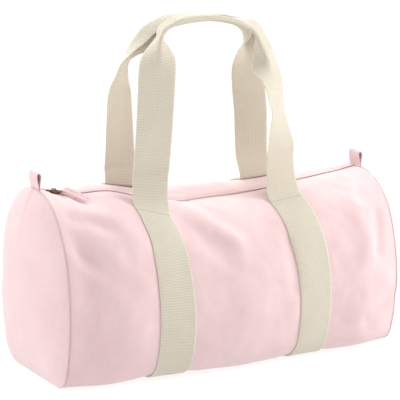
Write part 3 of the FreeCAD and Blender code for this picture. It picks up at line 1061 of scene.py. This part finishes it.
def zip_teeth(side, name):
    """Row of meshing teeth on one tape."""
    root = tooth_pitch * tooth_root_share
    head = tooth_pitch * tooth_head_share
    tip = tooth_pitch * tooth_tip_share
    outline = (
        (-root, side * tooth_root),
        (root, side * tooth_root),
        (head, 0),
        (tip, -side * tooth_overlap),
        (-tip, -side * tooth_overlap),
        (-head, 0),
    )
    first = slider_rest + (tooth_pitch / 2 if side < 0 else tooth_pitch)
    last = chain_end - stop_length - tooth_pitch / 2
    tooth_faces = tube_faces(2, len(outline))
    points = []
    faces = []
    for i in range(int((last - first) / tooth_pitch) + 1):
        place = zip_place(first + i * tooth_pitch)
        faces += shifted(tooth_faces, len(points))
        for level in (-tooth_drop - tooth_height, -tooth_drop):
            points += [place @ Vector((x, y, level)) for x, y in outline]
    obj = face_outwards(add_mesh(name + "_row", points, faces, smooth=False))
    soften(obj, tooth_bevel)
    dress(obj, "bag", "antique_metal", brass, name)


def zip_tape(side, name):
    """Woven tape under one lip, falling a little towards its outer edge."""
    distances = np.linspace(along_arc(-tape_end), along_arc(tape_end), tape_rows)
    across = np.linspace(tape_inner, tape_half_width, tape_columns)
    top = -(canvas + layer_gap + tooth_drop) - (across - tape_inner) * tape_slope
    ring_across = np.concatenate((across, across[::-1]))
    ring_up = np.concatenate((top, top[::-1] - tape_thickness))
    sections = []
    for distance in distances:
        place = zip_place(distance)
        sections.append([tuple(place @ Vector((0, side * y, z))) for y, z in zip(ring_across, ring_up)])
    obj = cloth_strip(name + "_cloth", sections, ring_across, distances)
    dress(obj, "bag", "zip_tape", zip_cloth, name)


def pull_place():
    """Matrix of the pull: X along it, Y along the ring's bar, Z out of the bag."""
    lift = Matrix.Translation((0, 0, pull_level)) @ Matrix.Rotation(math.radians(-pull_yaw), 4, "Z")
    return zip_place(slider_rest) @ lift


def canvas_level(place, x, y):
    """Height of the canvas in a frame near the zip, at a place of that frame."""
    spot = place @ Vector((x, y, 0))
    side = -1 if spot.y < 0 else 1
    canvas_points = strip_along_zip(spot.x + np.array((-1.0, 0, 1.0)), side, abs(spot.y))
    return (place.inverted() @ Vector(canvas_points[1, 1])).z


def pull_tab():
    """Canvas strip folded round the ring's bar, its long edges turned in, lying on the front of the bag."""
    place = pull_place()
    line = upright_line(np.array(pull_line) + (ring_length, 0), pull_spacing)
    tangents = unit(np.gradient(line, axis=0))
    ring = slab_ring(pull_width, 2 * pull_ply, pull_columns)
    crease = 1 - pull_crease_share * bell(ring[:, 0], 0, pull_crease_width) * (ring[:, 1] > pull_ply)
    past_bar = line[:, 0] - ring_length
    tip_level = canvas_level(place, line[-1, 0], -pull_width / 2) + pull_gap + pull_ply
    levels = tip_level * np.clip((past_bar - pull_root) / (past_bar[-1] - pull_root), 0, 1)
    rolls = pull_roll * smooth_step(past_bar, *pull_roll_reach)
    across = np.array((-0.5, 0, 0.5)) * pull_width
    sections = []
    for centre, tangent, distance, level, roll in zip(line, tangents, past_bar, levels, rolls):
        up = np.array((-tangent[2], 0, tangent[0]))
        is_free = distance > pull_root
        offsets = (ring[:, 1] * crease - pull_ply) * (1.0 if is_free else pull_root_share)
        points = centre + ring[:, :1] * (0, 1, 0) + offsets[:, None] * up
        lifts = [level + roll * (y / pull_width + 0.5) for y in across]
        if is_free:
            clear = [canvas_level(place, centre[0], y) + pull_gap + pull_ply - centre[2] for y in across]
            lifts = np.maximum(lifts, clear)
        points[:, 2] += np.interp(ring[:, 0], across, lifts)
        sections.append([tuple(place @ Vector(point)) for point in points])
    along = run_lengths(line)
    obj = cloth_strip("zip_pull_cloth", sections, ring[:, 0], along)
    dress(obj, "pull_tab", "pink_canvas", pink, "zip_pull_tab")


# Cloth loops and bindings in the end seams

def tab_loop(end, name):
    """Strip of canvas folded into an upright loop, a little wavy."""
    rise = [(-out, up) for out, up in tab_side]
    line = upright_line(rise + [(0.0, tab_height)] + list(reversed(tab_side)), tab_spacing)
    tangents = unit(np.gradient(line, axis=0))
    ring = slab_ring(tab_width, tab_thickness, tab_columns)
    foot = np.array((end * (seam_half - tab_inset), 0, zip_height(end * seam_half)))
    sections = []
    for centre, tangent in zip(line, tangents):
        out = np.array((-tangent[2], 0, tangent[0]))
        points = foot + centre + ring[:, :1] * (0, 1, 0) + (ring[:, 1:] - tab_thickness / 2) * out
        wave = tab_wave_height * np.sin(points[:, 1] / tab_wave_length + centre[0])
        wave *= smooth_step(centre[2], *tab_wave_rise)
        sections.append(points + wave[:, None] * out)
    along = run_lengths(line)
    obj = cloth_strip(name + "_canvas", sections, ring[:, 0], along)
    dress(obj, "bag", "pink_canvas", pink, name)


def seam_binding(end, name):
    """Tape over the raw edges of a seam, inside the bag."""
    xs = np.sort(end * np.linspace(seam_half - binding_reach, seam_half - layer_gap, binding_rows))
    shares = np.tile(np.linspace(-binding_end_share, binding_end_share, binding_columns), (len(xs), 1))
    grid = skin(xs, shares)
    inwards = -outward(grid)
    outer = grid + inwards * (canvas + layer_gap)
    inner = outer + inwards * binding_thickness
    along = np.broadcast_to(run_lengths(grid[:, 0])[:, None], shares.shape)
    uvs = np.stack((along, girth(grid)), axis=2)
    sections = np.concatenate((outer, inner[:, ::-1]), axis=1)
    obj = tube(name + "_tape", sections, np.concatenate((uvs, uvs[:, ::-1]), axis=1))
    dress(obj, "bag", "seam_binding", binding_cloth, name)


# Stitching

def stitch_points(start, end, normal):
    """Rings of points of one raised stitch."""
    run = end - start
    sideways = unit(np.cross(run, normal))
    points = []
    for share, size, lift in stitch_shape:
        centre = start + run * share + normal * lift * stitch_radius
        for spoke in np.linspace(0, 2 * math.pi, stitch_sides, endpoint=False):
            reach = sideways * math.cos(spoke) + normal * math.sin(spoke)
            points.append(centre + reach * stitch_radius * size)
    return points


def stitches(name, rows, slot, material):
    """Raised stitches on the bag, along lines of (points, normals)."""
    stitch_faces = tube_faces(len(stitch_shape), stitch_sides)
    points = []
    faces = []
    for line, normals in rows:
        along = run_lengths(line)
        for place in np.arange(0, along[-1] - stitch_length, stitch_step):
            start = rows_at(line, along, place)
            end = rows_at(line, along, place + stitch_length)
            if start[2] < stitch_lowest:
                continue
            faces += shifted(stitch_faces, len(points))
            points += stitch_points(start, end, unit(rows_at(normals, along, place)))
    dress(face_outwards(add_mesh(name, points, faces)), "bag", slot, material)


def strap_stitching(end, name):
    """Rows along both edges of a strap, and two rows across it below each handle."""
    inset = webbing_width / 2 - strap_stitch_inset
    grid, lift = strap_line(end, np.linspace(-inset, inset, strap_stitch_columns))
    top = grid + lift * (layer_gap + webbing_thickness)
    rows = [(top[i], lift[i]) for i in (0, -1)]
    rows += [(top[:, i], lift[:, i]) for i in strap_cross_rows]
    stitches(name, rows, "cream_webbing", cream_thread)


def lip_stitching():
    """A row along each edge of the zip opening."""
    xs = np.linspace(lip_stitch_end - seam_half, seam_half - lip_stitch_end, lip_stitch_rows)
    rows = []
    for side in (-1, 1):
        grid = strip_along_zip(xs, side, lip_stitch_inset)
        rows.append((grid[:, 1], outward(grid)[:, 1]))
    stitches("zip_edge_stitching", rows, "pink_canvas", pink_thread)


# Metal

def finish_metal():
    """Finish of the solids that stay: softened edges and antique metal."""
    for name in ("zip_slider", "zip_pull_ring", "zip_top_stops", "zip_bottom_stop"):
        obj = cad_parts[name]
        obj.data.materials.clear()
        obj.data.materials.append(brass)
        soften(obj, metal_bevel)


# Stage

def camera():
    """Camera at the photograph's angle: the fitted azimuth, elevation, distance and lens."""
    azimuth = math.radians(-28.7)
    elevation = math.radians(11.29)
    distance = 2483.7
    focal_pixels = 1825.3
    image_pixels = 400
    target = Vector((-4.8, 0, 211.6))
    back = Vector((
        math.sin(azimuth) * math.cos(elevation),
        -math.cos(azimuth) * math.cos(elevation),
        math.sin(elevation),
    ))
    right = Vector((math.cos(azimuth), math.sin(azimuth), 0))
    axes = Matrix((right, back.cross(right), back)).transposed().to_4x4()
    data = bpy.data.cameras.new("camera")
    data.sensor_width = 36
    data.lens = data.sensor_width * focal_pixels / image_pixels
    data.clip_end = 100
    obj = bpy.data.objects.new("camera", data)
    obj.matrix_world = Matrix.Translation((target + back * distance) * MM) @ axes
    bpy.context.scene.collection.objects.link(obj)
    bpy.context.scene.camera = obj


def floor():
    """Pale floor that glows, so that it is as white as the room."""
    corners = [(x * floor_half, y * floor_half, 0) for x, y in ((-1, -1), (1, -1), (1, 1), (-1, 1))]
    obj = add_mesh("floor", corners, [(0, 1, 2, 3)])
    material, tree, shader = new_material("pale_floor", roughness=0.9)
    mottle = streaks(tree, object_coords(tree), across=900.0, along=900.0)
    colour = shade_between(tree, mottle, dark=(0.23, 0.23, 0.23), light=(0.26, 0.26, 0.26))
    set_inputs(tree, shader, Base_Color=colour, Emission_Color=(1, 1, 1), Emission_Strength=floor_glow)
    obj.data.materials.append(material)


def area_light(name, place, aim, size, power):
    data = bpy.data.lights.new(name, "AREA")
    data.shape = "DISK"
    data.size = size
    data.energy = power
    obj = bpy.data.objects.new(name, data)
    obj.location = place
    obj.rotation_euler = (Vector(aim) - Vector(place)).to_track_quat("-Z", "Y").to_euler()
    bpy.context.scene.collection.objects.link(obj)


def lights():
    """White room with lamps on the right, on the left and above the back."""
    world = bpy.data.worlds.new("studio")
    bpy.context.scene.world = world
    world.use_nodes = True
    background = world.node_tree.nodes["Background"]
    set_inputs(world.node_tree, background, Color=(1, 1, 1), Strength=room_light)
    for lamp in lamps:
        area_light(*lamp)
    bpy.context.scene.view_settings.view_transform = "Standard"


bag_ends = ((-1, "left"), (1, "right"))
bag_sides = ((-1, "front"), (1, "back"))

camera()
floor()
lights()
barrel()
for end, end_name in bag_ends:
    end_panel(end, end_name + "_end_canvas")
    tab_loop(end, end_name + "_tab_loop")
    seam_binding(end, end_name + "_seam_binding")
strap_rings = [strap(end, end_name + "_strap") for end, end_name in bag_ends]
handle(-1, "front_handle", front_handle_line, strap_rings)
handle(1, "back_handle", back_handle_line, strap_rings)
for side, side_name in bag_sides:
    zip_tape(side, side_name + "_zip_tape")
    zip_teeth(side, side_name + "_zip_teeth")
pull_tab()
finish_metal()
for end, end_name in bag_ends:
    strap_stitching(end, end_name + "_strap_stitching")
lip_stitching()
